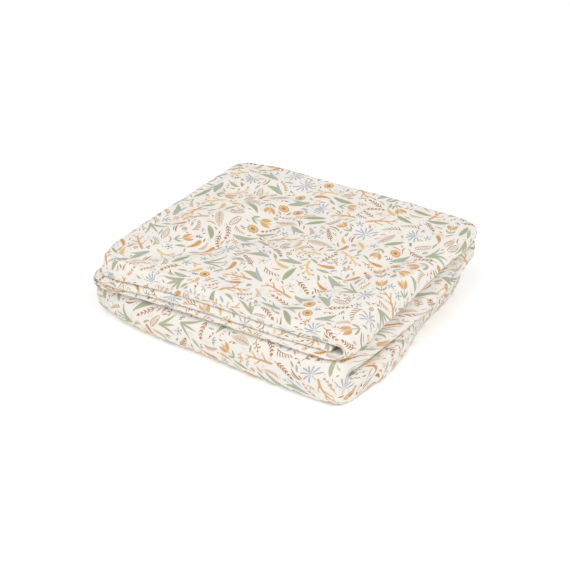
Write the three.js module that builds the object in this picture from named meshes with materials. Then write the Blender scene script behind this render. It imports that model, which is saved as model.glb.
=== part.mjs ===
import * as THREE from "three";

// A folded crib blanket: one padded cloth, folded in three across its length and then in three
// across its width, so that it lies nine layers deep. Millimetres, Z up, floor at z = 0.
// X runs along the first fold's strip, Y along the second fold, the open end towards -Y.

// Cloth
const LOFT = 8.0;
const LAYER_GAP = 0.9;
const STRIP_GAP = 1.5;
const SEAM_WIDTH = 5.5;
const SEAM_SHARE = 0.25;
const TOP_LAYER_LENGTH = 280;
const INNER_LAYER_LENGTH = 263;
const STRIP_LENGTH = 250;

// Strip and stack
const WRAP_RADIUS = LOFT + LAYER_GAP;
const STRIP_HEIGHT = 3 * LOFT + 2 * LAYER_GAP;
const TURN_RADIUS = (STRIP_HEIGHT + STRIP_GAP) / 2;
const LOW_MID = STRIP_HEIGHT / 2;
const MIDDLE_MID = LOW_MID + STRIP_HEIGHT + STRIP_GAP;
const TOP_MID = MIDDLE_MID + STRIP_HEIGHT + STRIP_GAP;
const PAIR_LEVEL = 2 * STRIP_HEIGHT + 1.5 * STRIP_GAP;
const TOP_LEVEL = 3 * STRIP_HEIGHT + 2 * STRIP_GAP;

// Where the strips end, front to back
const FRONT_EDGE = -127;
const BACK_TURN = 138;
const FRONT_TURN = -135;
const BACK_EDGE = 126;

// Turns and wraps: how deep they reach and how square they are
const BACK_DEPTH = 0.62;
const BACK_SQUARE = 2.3;
const FRONT_SQUARE = 2.5;
const INNER_DEPTH = 0.8;
const INNER_SQUARE = 2.2;
const FRONT_DEPTH = [[-165, 0.85], [-80, 0.72], [20, 0.58], [100, 0.58], [145, 0.85]];
const WRAP_DEPTH = [[0, 1.0], [1, 0.95], [1.25, 0.8], [2.25, 0.72], [3.5, 0.72]];
const WRAP_SQUARE = [[0, 2.15], [1, 2.2], [1.25, 2.6], [3.5, 2.8]];

// Run of the cloth along the second fold: 0 to 1 top strip, to 1.25 back turn, to 2.25 middle
// strip, to 2.5 front turn, to 3.5 lowest strip. In these tables the first column is that run.
const TURN = 0.25;
const RIGHT_END = [
  [0, 136], [0.06, 138], [0.3, 139], [0.7, 144], [0.92, 145], [1.0, 143], [1.125, 138],
  [1.25, 138], [1.45, 144], [1.7, 145], [1.95, 139], [2.1, 136], [2.22, 134], [2.375, 131],
  [2.55, 136], [2.7, 141], [2.9, 138], [3.1, 130], [3.35, 128], [3.5, 122],
];
const LEFT_END = [
  [0, -168], [0.08, -169], [0.35, -161], [0.8, -152], [1.0, -149], [1.125, -144],
  [1.25, -148], [1.7, -154], [2.1, -169], [2.25, -173], [2.375, -172], [2.5, -168],
  [2.8, -159], [3.3, -148], [3.5, -146],
];
const TOP_LAYER_EDGE = [
  [0, -151], [0.05, -158], [0.13, -161], [0.35, -159], [0.8, -152], [1.0, -149], [1.125, -143],
  [1.25, -145], [2.1, -152], [2.375, -152], [2.5, -150], [3.5, -142],
];
const INNER_LAYER_EDGE = [[0, 117], [0.5, 118], [1.25, 116], [2.25, 110], [3.5, 104]];
const LIFT = [[0, 1.0], [0.25, 1.2], [0.7, 0], [3.5, 0]];
const LIFT_FROM_X = 60;
const LIFT_FULL_X = 118;
const LIFT_STEP = 1.5;

// Offsets of the front and back faces along x, and where along y they start and are full
const FRONT_FROM_Y = 20;
const FRONT_FULL_Y = -112;
const BACK_FROM_Y = 40;
const BACK_FULL_Y = 125;
const OFFSET_REACH = 1.3;
const FRONT_TOP_LAYER = [
  [-165, 14], [-152, 3], [-135, -2], [-110, -3], [-75, -1], [-40, -1], [10, -3], [40, -5],
  [72, -6], [95, -5], [115, -4], [130, -3], [142, 6],
];
const FRONT_INNER_LAYER = [
  [-172, 12], [-160, 1], [-145, -4], [-110, -5], [-80, -4], [-30, -4], [20, -5], [60, -6],
  [110, -5], [130, -5], [142, 4],
];
const FRONT_UNDER_LAYER = [
  [-172, 11], [-160, 1], [-145, -3], [-110, -3], [-80, -3], [-30, -4], [20, -6], [60, -8],
  [100, -9], [122, -8], [134, -2], [142, 8],
];
const FRONT_LOW = [
  [-174, 24], [-163, 17], [-145, 11], [-125, 6], [-100, 3], [-61, 1], [0, -2], [70, -6],
  [112, -7], [128, -3], [142, 8],
];
const BACK = [
  [-165, -28], [-152, -16], [-140, -7], [-118, -1], [-60, 0], [0, 0], [100, 1], [118, 0],
  [132, -4], [146, -13],
];

// Depth of the valley in the right face under the top strip, along y
const VALLEY = [[-140, 1], [-100, 5], [-60, 9], [0, 12], [60, 14], [105, 14], [140, 9]];
const VALLEY_WIDTH = 12;
const VALLEY_FROM_X = 70;
const VALLEY_FULL_X = 140;

// Heights along x: lowest strip, both lower strips, under side of the top layer, top
const LOW_HEIGHT = [[-172, 17], [-120, 19], [-60, 21], [20, 24], [90, 28], [146, 29]];
const PAIR_HEIGHT = [
  [-172, 34.5], [-140, 37], [-80, 41], [0, 44.5], [60, 48], [110, 50.5], [130, 52],
  [146, 54],
];
const UNDER_HEIGHT = [[-172, 49], [-140, 52], [-80, 57], [20, 62], [100, 62.5], [146, 63]];
const TOP_HEIGHT = [[-165, 71], [-140, 73], [-80, 74.5], [0, 76], [100, 77], [146, 77.5]];
const BACK_RISE = 9;
const RISE_FROM_X = 20;
const RISE_FULL_X = 130;
const RISE_FROM_Y = -50;
const RISE_FULL_Y = 80;

// Soft waves of the top face: height, slant in y per x, place in y, half width
const LONG_TROUGH = { height: -1.8, slant: 0.45, place: 10, width: 26 };
const LOW_RIDGE = { height: 1.0, slant: 0.45, place: -55, width: 30 };
const SHORT_TROUGH = { height: -1.4, slant: 0.5, place: -105, width: 22 };
const LONG_TROUGH_ENDS = { left: -170, leftFull: -60, rightFull: 60, right: 160 };
const SHORT_TROUGH_ENDS = { left: -40, leftFull: 60 };

// Points of the cloth that all layers share, so that their flat facets lie alike
const X_SHARED = [-132, -95, -61, -27, 7, 41, 75, 108];
const Y_SHARED = [-90, -59, -28, 3, 34, 65, 95];
const LAYER_RUNS = [[-152, 126], [126, -148], [-148, 115]];
const STRIP_RUNS = [[-127, 122], [122, -118], [-118, 126]];
const WRAP_FACETS = 8;
const INNER_FACETS = 5;
const TURN_FACETS = 8;

function along(table, at) {
  const last = table.length - 1;
  const t = Math.min(Math.max(at, table[0][0]), table[last][0]);
  let i = 0;
  while (i < last - 1 && t >= table[i + 1][0]) i += 1;
  const slope = (k) => (table[k + 1][1] - table[k][1]) / (table[k + 1][0] - table[k][0]);
  const lean = (k) => {
    if (k === 0) return slope(0);
    if (k === last) return slope(last - 1);
    return (slope(k) + slope(k - 1)) / 2;
  };
  const h = table[i + 1][0] - table[i][0];
  const q = (t - table[i][0]) / h;
  const from = (2 * q ** 3 - 3 * q ** 2 + 1) * table[i][1] + (q ** 3 - 2 * q ** 2 + q) * h * lean(i);
  const to = (3 * q ** 2 - 2 * q ** 3) * table[i + 1][1] + (q ** 3 - q ** 2) * h * lean(i + 1);
  return from + to;
}

function ease(from, to, at) {
  const q = Math.min(Math.max((at - from) / (to - from), 0), 1);
  return q * q * (3 - 2 * q);
}

// Cosine and sine of a half turn that is squarer than a circle
function rounded(angle, square) {
  const c = Math.cos(angle);
  const s = Math.sin(angle);
  return [
    Math.sign(c) * Math.abs(c) ** (2 / square),
    Math.sign(s) * Math.abs(s) ** (2 / square),
  ];
}

// A straight run from start to end whose middle keeps to the shared points
function run(f, start, end, nominal, shared) {
  const [n0, n1] = nominal;
  const low = shared[0];
  const high = shared[shared.length - 1];
  const [a, b] = n1 > n0 ? [low, high] : [high, low];
  const fa = (a - n0) / (n1 - n0);
  const fb = (b - n0) / (n1 - n0);
  if (f < fa) return start + ((a - start) * f) / fa;
  if (f < fb) return a + ((b - a) * (f - fa)) / (fb - fa);
  return b + ((end - b) * (f - fb)) / (1 - fb);
}

// Section of a strip: u runs 0 to 1 top layer, to 2 right wrap, to 3 under layer, to 4 left fold,
// to 5 inner layer. Gives x and the height in the strip for a point off the cloth's middle.
function acrossStrip(u, off, v) {
  const wrapDepth = along(WRAP_DEPTH, v);
  const rightCentre = along(RIGHT_END, v) - wrapDepth * (WRAP_RADIUS + LOFT / 2);
  const leftCentre = along(LEFT_END, v) + INNER_DEPTH * (WRAP_RADIUS / 2 + LOFT / 2);
  let x = 0;
  let w = 0;
  if (u <= 1) {
    x = run(u, along(TOP_LAYER_EDGE, v), rightCentre, LAYER_RUNS[0], X_SHARED);
    w = WRAP_RADIUS + off;
  } else if (u <= 2) {
    const [c, s] = rounded(Math.PI / 2 - (u - 1) * Math.PI, along(WRAP_SQUARE, v));
    x = rightCentre + wrapDepth * (WRAP_RADIUS + off) * c;
    w = (WRAP_RADIUS + off) * s;
  } else if (u <= 3) {
    x = run(u - 2, rightCentre, leftCentre, LAYER_RUNS[1], X_SHARED);
    w = -(WRAP_RADIUS + off);
  } else if (u <= 4) {
    const [c, s] = rounded(-Math.PI / 2 + (u - 3) * Math.PI, INNER_SQUARE);
    const r = WRAP_RADIUS / 2 + off;
    x = leftCentre - INNER_DEPTH * r * c;
    w = -WRAP_RADIUS / 2 + r * s;
  } else {
    x = run(u - 4, leftCentre, along(INNER_LAYER_EDGE, v), LAYER_RUNS[2], X_SHARED);
    w = off;
  }
  // The upper layers rise off the lowest one at the loose right end
  const rise = ease(-LOFT / 2 - LAYER_GAP - LIFT_STEP, -LOFT / 2 + LIFT_STEP, w);
  return [x, w + along(LIFT, v) * ease(LIFT_FROM_X, LIFT_FULL_X, x) * rise];
}

// The strip goes back, turns, comes forward, turns and goes back again
function alongStack(x, w, v) {
  const depth = along(FRONT_DEPTH, x);
  const back = BACK_TURN - BACK_DEPTH * (TURN_RADIUS + STRIP_HEIGHT / 2);
  const front = FRONT_TURN + depth * (TURN_RADIUS + STRIP_HEIGHT / 2);
  if (v <= 1) return [run(v, FRONT_EDGE, back, STRIP_RUNS[0], Y_SHARED), TOP_MID + w];
  if (v <= 1 + TURN) {
    const [c, s] = rounded(Math.PI / 2 - ((v - 1) / TURN) * Math.PI, BACK_SQUARE);
    const r = TURN_RADIUS + w;
    return [back + BACK_DEPTH * r * c, (TOP_MID + MIDDLE_MID) / 2 + r * s];
  }
  if (v <= 2 + TURN) return [run(v - 1 - TURN, back, front, STRIP_RUNS[1], Y_SHARED), MIDDLE_MID - w];
  if (v <= 2 + 2 * TURN) {
    const [c, s] = rounded(Math.PI / 2 - ((v - 2 - TURN) / TURN) * Math.PI, FRONT_SQUARE);
    const r = TURN_RADIUS - w;
    return [front - depth * r * c, (MIDDLE_MID + LOW_MID) / 2 + r * s];
  }
  return [run(v - 2 - 2 * TURN, front, BACK_EDGE, STRIP_RUNS[2], Y_SHARED), LOW_MID + w];
}

// Rises smoothly through the settled heights at the even ones
function settledHeight(even, settled, z) {
  const last = even.length - 1;
  const slope = (k) => (settled[k + 1] - settled[k]) / (even[k + 1] - even[k]);
  const lean = (k) => {
    if (k === 0) return slope(0);
    if (k === last) return slope(last - 1);
    return (2 * slope(k) * slope(k - 1)) / (slope(k) + slope(k - 1));
  };
  if (z <= 0) return z * lean(0);
  if (z >= even[last]) return settled[last] + (z - even[last]) * lean(last);
  let i = 0;
  while (z >= even[i + 1]) i += 1;
  const h = even[i + 1] - even[i];
  const q = (z - even[i]) / h;
  const from = (2 * q ** 3 - 3 * q ** 2 + 1) * settled[i] + (q ** 3 - 2 * q ** 2 + q) * h * lean(i);
  const to = (3 * q ** 2 - 2 * q ** 3) * settled[i + 1] + (q ** 3 - q ** 2) * h * lean(i + 1);
  return from + to;
}

function wave({ height, slant, place, width }, x, y) {
  return height * Math.exp(-(((y - slant * x - place) / width) ** 2));
}

function waves(x, y) {
  const { left, leftFull, rightFull, right } = LONG_TROUGH_ENDS;
  const long = wave(LONG_TROUGH, x, y) * ease(left, leftFull, x) * ease(right, rightFull, x);
  const short = wave(SHORT_TROUGH, x, y) * ease(SHORT_TROUGH_ENDS.left, SHORT_TROUGH_ENDS.leftFull, x);
  return long + wave(LOW_RIDGE, x, y) + short;
}

// The even stack's edges step and draw in
function settle(x, y, z, w, v) {
  const lower = ease(1, 1 + TURN, v);
  const front = ease(FRONT_FROM_Y, FRONT_FULL_Y, y);
  const back = ease(BACK_FROM_Y, BACK_FULL_Y, y);
  const share = Math.min(Math.max(w / WRAP_RADIUS, -OFFSET_REACH), OFFSET_REACH);
  const inner = along(FRONT_INNER_LAYER, x);
  const other = along(share > 0 ? FRONT_TOP_LAYER : FRONT_UNDER_LAYER, x);
  const top = inner + (other - inner) * Math.abs(share);
  const pinch = Math.exp(-(((z - PAIR_LEVEL) / VALLEY_WIDTH) ** 2));
  const sx = x - along(VALLEY, y) * ease(VALLEY_FROM_X, VALLEY_FULL_X, x) * pinch;
  const offset = (1 - lower) * top + lower * along(FRONT_LOW, x);
  const sy = y + front * offset + back * along(BACK, sx);
  return [sx, sy, z];
}

// The even heights settle, and sink to the left
function heights(x, y, z) {
  const rise = BACK_RISE * ease(RISE_FROM_X, RISE_FULL_X, x) * ease(RISE_FROM_Y, RISE_FULL_Y, y);
  const even = [
    0,
    STRIP_HEIGHT + STRIP_GAP / 2,
    PAIR_LEVEL,
    PAIR_LEVEL + STRIP_GAP / 2 + 2 * LOFT + 1.5 * LAYER_GAP,
    TOP_LEVEL,
  ];
  const settled = [
    0,
    along(LOW_HEIGHT, x) + 0.5 * rise,
    along(PAIR_HEIGHT, x) + rise,
    along(UNDER_HEIGHT, x) + 0.6 * rise,
    along(TOP_HEIGHT, x),
  ];
  const h = settledHeight(even, settled, z);
  return h + (h / TOP_LEVEL) ** 3 * waves(x, y);
}

// The loft rounds off towards the seamed edges
function loftShare(u, v) {
  const across = Math.min(u * TOP_LAYER_LENGTH, (5 - u) * INNER_LAYER_LENGTH);
  const length = Math.min(v, 3 + 2 * TURN - v) * STRIP_LENGTH;
  let share = 1;
  for (const distance of [across, length]) {
    const q = Math.min(Math.max(distance / SEAM_WIDTH, 0), 1);
    share *= SEAM_SHARE + (1 - SEAM_SHARE) * Math.sqrt(Math.max(1 - (1 - q) ** 2, 0));
  }
  return Math.max(share, SEAM_SHARE);
}

function clothPoint(u, v, side) {
  const off = ((side * LOFT) / 2) * loftShare(u, v);
  const [x, w] = acrossStrip(u, off, v);
  const [y, z] = alongStack(x, w, v);
  const [sx, sy, sz] = settle(x, y, z, w, v);
  return [sx, sy, heights(sx, sy, sz)];
}

function evenly(from, to, count) {
  return Array.from({ length: count }, (_, i) => from + ((to - from) * (i + 1)) / count);
}

// Stations across the cloth and along it; every layer meets the same shared points
function stations(runs, shared, turns, lengths, lead, tail) {
  const list = [...lead];
  let start = 0;
  runs.forEach(([from, to], k) => {
    const points = to > from ? shared : [...shared].reverse();
    list.push(...points.map((p) => start + (p - from) / (to - from)));
    if (k === runs.length - 1) return;
    list.push(start + 1);
    list.push(...evenly(start + 1, start + 1 + lengths, turns[k]));
    start += 1 + lengths;
  });
  return [...list, ...tail];
}

const ACROSS = stations(
  LAYER_RUNS, X_SHARED, [WRAP_FACETS, INNER_FACETS], 1,
  [0, 0.006, 0.018, 0.04], [4.988, 4.996, 5],
);
const LENGTH = stations(
  STRIP_RUNS, Y_SHARED, [TURN_FACETS, TURN_FACETS], TURN,
  [0, 0.006, 0.018, 0.04], [3.46, 3.482, 3.494, 3.5],
);

function clothGeometry() {
  const points = [];
  for (const side of [1, -1]) {
    for (const u of ACROSS) {
      for (const v of LENGTH) points.push(clothPoint(u, v, side));
    }
  }
  const rows = ACROSS.length;
  const columns = LENGTH.length;
  const sheet = rows * columns;
  const triangles = [];
  const quad = (a, b, c, d) => {
    const dx = points[c][0] - points[a][0];
    const dy = points[c][1] - points[a][1];
    if (dx * dy < 0) triangles.push(d, a, b, d, b, c);
    else triangles.push(a, b, c, a, c, d);
  };
  const at = (i, j) => i * columns + j;
  for (let i = 0; i < rows - 1; i += 1) {
    for (let j = 0; j < columns - 1; j += 1) {
      quad(at(i, j), at(i + 1, j), at(i + 1, j + 1), at(i, j + 1));
      quad(sheet + at(i, j + 1), sheet + at(i + 1, j + 1), sheet + at(i + 1, j), sheet + at(i, j));
    }
  }
  // The seamed edge joins both faces of the cloth
  const rim = [];
  for (let j = 0; j < columns; j += 1) rim.push(at(0, j));
  for (let i = 1; i < rows; i += 1) rim.push(at(i, columns - 1));
  for (let j = columns - 2; j >= 0; j -= 1) rim.push(at(rows - 1, j));
  for (let i = rows - 2; i > 0; i -= 1) rim.push(at(i, 0));
  rim.forEach((a, k) => {
    const b = rim[(k + 1) % rim.length];
    quad(a, b, sheet + b, sheet + a);
  });
  const geometry = new THREE.BufferGeometry();
  geometry.setAttribute("position", new THREE.Float32BufferAttribute(points.flat(), 3));
  geometry.setIndex(triangles);
  geometry.computeBoundingBox();
  const box = geometry.boundingBox;
  geometry.translate(-(box.min.x + box.max.x) / 2, -(box.min.y + box.max.y) / 2, -box.min.z);
  geometry.computeVertexNormals();
  return geometry;
}

const cloth = new THREE.MeshStandardMaterial({ color: 0xf3efe4, roughness: 0.9, metalness: 0 });
const blanket = new THREE.Mesh(clothGeometry(), cloth);
blanket.name = "blanket";

const group = new THREE.Group();
group.name = "folded_crib_blanket";
group.add(blanket);

export default group;
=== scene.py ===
"""A folded crib blanket: padded printed jersey, in thirds both ways, on a pale floor."""
import math

import bpy
import numpy as np
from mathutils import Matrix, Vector


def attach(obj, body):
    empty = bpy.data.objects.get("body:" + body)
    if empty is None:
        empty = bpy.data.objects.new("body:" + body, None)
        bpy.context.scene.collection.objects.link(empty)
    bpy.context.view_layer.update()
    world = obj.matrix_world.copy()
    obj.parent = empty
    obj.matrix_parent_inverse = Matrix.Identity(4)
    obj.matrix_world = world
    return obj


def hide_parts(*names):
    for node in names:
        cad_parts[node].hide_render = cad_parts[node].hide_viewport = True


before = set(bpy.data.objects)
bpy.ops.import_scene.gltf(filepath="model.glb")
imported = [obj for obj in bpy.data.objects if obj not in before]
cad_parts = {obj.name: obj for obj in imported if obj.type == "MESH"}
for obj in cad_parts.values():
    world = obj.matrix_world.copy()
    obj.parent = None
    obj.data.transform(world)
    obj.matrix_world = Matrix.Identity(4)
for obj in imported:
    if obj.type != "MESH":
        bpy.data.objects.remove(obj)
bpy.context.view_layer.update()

MM = 0.001

# The cloth's faces: 1 is the outer one, -1 the inner one
SIDES = (1, -1)

# The folded form, in millimetres, as in the solid's source

# The cloth's loft, the gaps in the stack, and how far the turned edge thins and to what share
LOFT = 8.0
LAYER_GAP = 0.9
STRIP_GAP = 1.5
SEAM_WIDTH = 4.5
SEAM_SHARE = 0.05

# Lengths of the cloth's parts across the strip, and of one strip
TOP_LAYER_LENGTH = 280
WRAP_LENGTH = 40
UNDER_LAYER_LENGTH = 272
INNER_FOLD_LENGTH = 24
INNER_LAYER_LENGTH = 263
STRIP_LENGTH = 250

# Sizes and levels of the even stack, before it settles
WRAP_RADIUS = LOFT + LAYER_GAP
STRIP_HEIGHT = 3 * LOFT + 2 * LAYER_GAP
TURN_RADIUS = (STRIP_HEIGHT + STRIP_GAP) / 2
LOW_MID = STRIP_HEIGHT / 2
MIDDLE_MID = LOW_MID + STRIP_HEIGHT + STRIP_GAP
TOP_MID = MIDDLE_MID + STRIP_HEIGHT + STRIP_GAP
PAIR_LEVEL = 2 * STRIP_HEIGHT + 1.5 * STRIP_GAP
TOP_LEVEL = 3 * STRIP_HEIGHT + 2 * STRIP_GAP

# The y of the strips' ends and turns
FRONT_EDGE = -127
BACK_TURN = 138
FRONT_TURN = -135
BACK_EDGE = 126

# Each turn's depth as a share of a round one's, and how square it is: 2 is round
BACK_DEPTH = 0.62
BACK_SQUARE = 2.3
FRONT_SQUARE = 2.5
INNER_DEPTH = 0.8
INNER_SQUARE = 2.2
FRONT_DEPTH = [(-165, 0.85), (-80, 0.72), (20, 0.58), (100, 0.58), (145, 0.85)]
WRAP_DEPTH = [(0, 1.0), (1, 0.95), (1.25, 0.8), (2.25, 0.72), (3.5, 0.72)]
WRAP_SQUARE = [(0, 2.15), (1, 2.2), (1.25, 2.6), (3.5, 2.8)]

# Places on the folded cloth. Across the strip, u is 0 to 1 on the top layer, to 2 on the right
# wrap, to 3 on the under layer, to 4 on the left fold and to 5 on the inner layer. Along it, v is
# 0 to 1 on the top strip, to 1.25 on the back turn, to 2.25 on the middle strip, to 2.5 on the
# front turn and to 3.5 on the lowest strip
TURN = 0.25
U_END = 5
V_END = 3 + 2 * TURN

# Tables by v: x of the strip's right end, of its left fold and of its two sewn edges
RIGHT_END = [
    (0, 136), (0.06, 138), (0.3, 139), (0.7, 144), (0.92, 145), (1.0, 143), (1.125, 138),
    (1.25, 138), (1.45, 144), (1.7, 145), (1.95, 139), (2.1, 136), (2.22, 134), (2.375, 131),
    (2.55, 136), (2.7, 141), (2.9, 138), (3.1, 130), (3.35, 128), (3.5, 122),
]
LEFT_END = [
    (0, -168), (0.08, -169), (0.35, -161), (0.8, -152), (1.0, -149), (1.125, -144),
    (1.25, -148), (1.7, -154), (2.1, -169), (2.25, -173), (2.375, -172), (2.5, -168),
    (2.8, -159), (3.3, -148), (3.5, -146),
]
TOP_LAYER_EDGE = [
    (0, -151), (0.05, -158), (0.13, -161), (0.35, -159), (0.8, -152), (1.0, -149), (1.125, -143),
    (1.25, -145), (2.1, -152), (2.375, -152), (2.5, -150), (3.5, -142),
]
INNER_LAYER_EDGE = [(0, 117), (0.5, 118), (1.25, 116), (2.25, 110), (3.5, 104)]

# The top layer's lift at the right: height by v, the x over which it comes, and its softness
LIFT = [(0, 1.0), (0.25, 1.2), (0.7, 0), (3.5, 0)]
LIFT_FROM_X = 60
LIFT_FULL_X = 118
LIFT_STEP = 1.5

# Tables by x: how far back from the even stack each layer's front edge lies, and the whole back.
# Before them, the y over which they come, and how far past the layers' middles they go on
FRONT_FROM_Y = 20
FRONT_FULL_Y = -112
BACK_FROM_Y = 40
BACK_FULL_Y = 125
OFFSET_REACH = 1.3
FRONT_TOP_LAYER = [
    (-165, 14), (-152, 3), (-135, -2), (-110, -3), (-75, -1), (-40, -1), (10, -3), (40, -5),
    (72, -6), (95, -5), (115, -4), (130, -3), (142, 6),
]
FRONT_INNER_LAYER = [
    (-172, 12), (-160, 1), (-145, -4), (-110, -5), (-80, -4), (-30, -4), (20, -5), (60, -6),
    (110, -5), (130, -5), (142, 4),
]
FRONT_UNDER_LAYER = [
    (-172, 11), (-160, 1), (-145, -3), (-110, -3), (-80, -3), (-30, -4), (20, -6), (60, -8),
    (100, -9), (122, -8), (134, -2), (142, 8),
]
FRONT_LOW = [
    (-174, 24), (-163, 17), (-145, 11), (-125, 6), (-100, 3), (-61, 1), (0, -2), (70, -6),
    (112, -7), (128, -3), (142, 8),
]
BACK = [
    (-165, -28), (-152, -16), (-140, -7), (-118, -1), (-60, 0), (0, 0), (100, 1), (118, 0),
    (132, -4), (146, -13),
]

# The valley at the right between the top strip and the lower two: depth by y, its width in height
# and the x over which it comes
VALLEY = [(-140, 1), (-100, 5), (-60, 9), (0, 12), (60, 14), (105, 14), (140, 9)]
VALLEY_WIDTH = 12
VALLEY_FROM_X = 70
VALLEY_FULL_X = 140

# Tables by x: settled heights over the lowest strip, the lower two, the top strip's under layer
# and the whole stack, and how much the back right corner rises
LOW_HEIGHT = [(-172, 17), (-120, 19), (-60, 21), (20, 24), (90, 28), (146, 29)]
PAIR_HEIGHT = [
    (-172, 34.5), (-140, 37), (-80, 41), (0, 44.5), (60, 48), (110, 50.5), (130, 52), (146, 54),
]
UNDER_HEIGHT = [(-172, 49), (-140, 52), (-80, 57), (20, 62), (100, 62.5), (146, 63)]
TOP_HEIGHT = [(-165, 71), (-140, 73), (-80, 74.5), (0, 76), (100, 77), (146, 77.5)]
BACK_RISE = 9
RISE_FROM_X = 20
RISE_FULL_X = 130
RISE_FROM_Y = -50
RISE_FULL_Y = 80

# Low waves of the whole top
LONG_TROUGH = {"height": -1.8, "slant": 0.45, "place": 10, "width": 26}
LOW_RIDGE = {"height": 1.0, "slant": 0.45, "place": -55, "width": 30}
SHORT_TROUGH = {"height": -1.4, "slant": 0.5, "place": -105, "width": 22}

# Where straight runs keep to shared places: x and y of their inner parts, and their ends
X_SHARED = (-132, 108)
Y_SHARED = (-90, 95)
LAYER_RUNS = ((-152, 126), (126, -148), (-148, 115))
STRIP_RUNS = ((-127, 122), (122, -118), (-118, 126))

# Centre of the solid's box in the coordinates of these tables
BOX_CENTRE = (-14.06, -1.79, 0.0)


def along(table, at):
    """Smooth curve through a table's points."""
    places = np.array([row[0] for row in table], float)
    values = np.array([row[1] for row in table], float)
    at = np.clip(np.asarray(at, float), places[0], places[-1])
    slopes = np.diff(values) / np.diff(places)
    leans = np.concatenate([slopes[:1], (slopes[1:] + slopes[:-1]) / 2, slopes[-1:]])
    i = np.clip(np.searchsorted(places, at, "right") - 1, 0, len(places) - 2)
    h = places[i + 1] - places[i]
    q = (at - places[i]) / h
    start = (2 * q**3 - 3 * q**2 + 1) * values[i] + (q**3 - 2 * q**2 + q) * h * leans[i]
    end = (3 * q**2 - 2 * q**3) * values[i + 1] + (q**3 - q**2) * h * leans[i + 1]
    return start + end


def ease(start, end, at):
    """Rises smoothly from 0 at the start to 1 at the end."""
    q = np.clip((at - start) / (end - start), 0, 1)
    return q * q * (3 - 2 * q)


def rounded(angle, square):
    """Cosine and sine of a half turn that is squarer than a circle."""
    c = np.cos(angle)
    s = np.sin(angle)
    return np.sign(c) * np.abs(c) ** (2 / square), np.sign(s) * np.abs(s) ** (2 / square)


def run(f, start, end, nominal, shared):
    """A straight run whose inner part keeps to the shared places."""
    n0, n1 = nominal
    a, b = shared if n1 > n0 else shared[::-1]
    fa = (a - n0) / (n1 - n0)
    fb = (b - n0) / (n1 - n0)
    inner = a + (b - a) * (f - fa) / (fb - fa)
    last = b + (end - b) * (f - fb) / (1 - fb)
    return np.where(f < fa, start + (a - start) * f / fa, np.where(f < fb, inner, last))


def across_strip(u, off, v):
    """Section of a strip: u to 1 top layer, 2 right wrap, 3 under layer, 4 left fold, 5 inner."""
    wrap_depth = along(WRAP_DEPTH, v)
    right = along(RIGHT_END, v) - wrap_depth * (WRAP_RADIUS + LOFT / 2)
    left = along(LEFT_END, v) + INNER_DEPTH * (WRAP_RADIUS / 2 + LOFT / 2)
    wrap_c, wrap_s = rounded(np.pi / 2 - np.clip(u - 1, 0, 1) * np.pi, along(WRAP_SQUARE, v))
    fold_c, fold_s = rounded(-np.pi / 2 + np.clip(u - 3, 0, 1) * np.pi, INNER_SQUARE)
    fold = WRAP_RADIUS / 2 + off
    parts = [u <= 1, u <= 2, u <= 3, u <= 4]
    x = np.select(parts, [
        run(u, along(TOP_LAYER_EDGE, v), right, LAYER_RUNS[0], X_SHARED),
        right + wrap_depth * (WRAP_RADIUS + off) * wrap_c,
        run(u - 2, right, left, LAYER_RUNS[1], X_SHARED),
        left - INNER_DEPTH * fold * fold_c,
    ], run(u - 4, left, along(INNER_LAYER_EDGE, v), LAYER_RUNS[2], X_SHARED))
    w = np.select(parts, [
        WRAP_RADIUS + off,
        (WRAP_RADIUS + off) * wrap_s,
        -(WRAP_RADIUS + off),
        -WRAP_RADIUS / 2 + fold * fold_s,
    ], off)
    rise = ease(-LOFT / 2 - LAYER_GAP - LIFT_STEP, -LOFT / 2 + LIFT_STEP, w)
    return x, w + along(LIFT, v) * ease(LIFT_FROM_X, LIFT_FULL_X, x) * rise


def along_stack(x, w, v):
    """The strip goes back, turns, comes forward, turns and goes back again."""
    depth = along(FRONT_DEPTH, x)
    back = BACK_TURN - BACK_DEPTH * (TURN_RADIUS + STRIP_HEIGHT / 2)
    front = FRONT_TURN + depth * (TURN_RADIUS + STRIP_HEIGHT / 2)
    back_c, back_s = rounded(np.pi / 2 - np.clip((v - 1) / TURN, 0, 1) * np.pi, BACK_SQUARE)
    front_turn = np.clip((v - 2 - TURN) / TURN, 0, 1)
    front_c, front_s = rounded(np.pi / 2 - front_turn * np.pi, FRONT_SQUARE)
    parts = [v <= 1, v <= 1 + TURN, v <= 2 + TURN, v <= 2 + 2 * TURN]
    y = np.select(parts, [
        run(v, FRONT_EDGE, back, STRIP_RUNS[0], Y_SHARED),
        back + BACK_DEPTH * (TURN_RADIUS + w) * back_c,
        run(v - 1 - TURN, back, front, STRIP_RUNS[1], Y_SHARED),
        front - depth * (TURN_RADIUS - w) * front_c,
    ], run(v - 2 - 2 * TURN, front, BACK_EDGE, STRIP_RUNS[2], Y_SHARED))
    z = np.select(parts, [
        TOP_MID + w,
        (TOP_MID + MIDDLE_MID) / 2 + (TURN_RADIUS + w) * back_s,
        MIDDLE_MID - w,
        (MIDDLE_MID + LOW_MID) / 2 + (TURN_RADIUS - w) * front_s,
    ], LOW_MID + w)
    return y, z


def settled_height(even, settled, z):
    """Rises smoothly through the settled heights at the even ones."""
    last = len(even) - 1
    slopes = [(settled[k + 1] - settled[k]) / (even[k + 1] - even[k]) for k in range(last)]
    inner = [2 * a * b / (a + b) for a, b in zip(slopes[1:], slopes)]
    leans = [slopes[0], *inner, slopes[-1]]
    out = settled[last] + (z - even[last]) * leans[last]
    for i in reversed(range(last)):
        h = even[i + 1] - even[i]
        q = (z - even[i]) / h
        start = (2 * q**3 - 3 * q**2 + 1) * settled[i] + (q**3 - 2 * q**2 + q) * h * leans[i]
        end = (3 * q**2 - 2 * q**3) * settled[i + 1] + (q**3 - q**2) * h * leans[i + 1]
        out = np.where(z < even[i + 1], start + end, out)
    return np.where(z <= 0, z * leans[0], out)


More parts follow.
